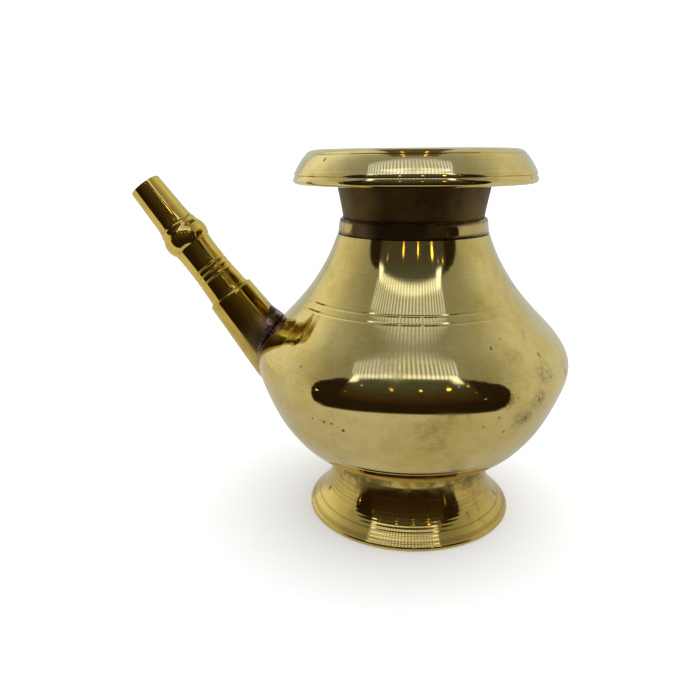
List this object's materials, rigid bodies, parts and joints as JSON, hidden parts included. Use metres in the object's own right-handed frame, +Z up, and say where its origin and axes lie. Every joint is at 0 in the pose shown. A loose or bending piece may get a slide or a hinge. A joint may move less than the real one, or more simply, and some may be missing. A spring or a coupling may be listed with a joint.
{
  "type": "spouted pitcher",
  "caption": "Round-bellied brass water pitcher on a flared foot, with a narrow neck, a wide overhanging mouth rim and a straight spout rising from one side.",
  "frame": {"origin": "on the floor under the foot, below the middle of the overall outline; the pot's own axis stands 25.4 mm towards +X", "axes": "+Z up along the pot's axis; -X towards the spout, +X away from it; -Y towards the viewer of the picture"},
  "size_m": [0.1784, 0.1276, 0.1506],
  "materials": {
    "polished_brass": "polished and finely turned, with small casting pits",
    "dull_brass": "dull and heat-tinted",
    "braze": "rough, copper-coloured braze"
  },
  "bodies": {
    "root": {"foot": "polished_brass", "lower_body": "polished_brass", "upper_body": "polished_brass", "shoulder_collar": "polished_brass", "neck": "dull_brass", "mouth_rim": "polished_brass", "spout_sleeve": "polished_brass", "spout_braze": "braze", "spout_tube": "polished_brass", "spout_knuckle": "polished_brass", "spout_tip": "polished_brass"}
  },
  "joints": []
}
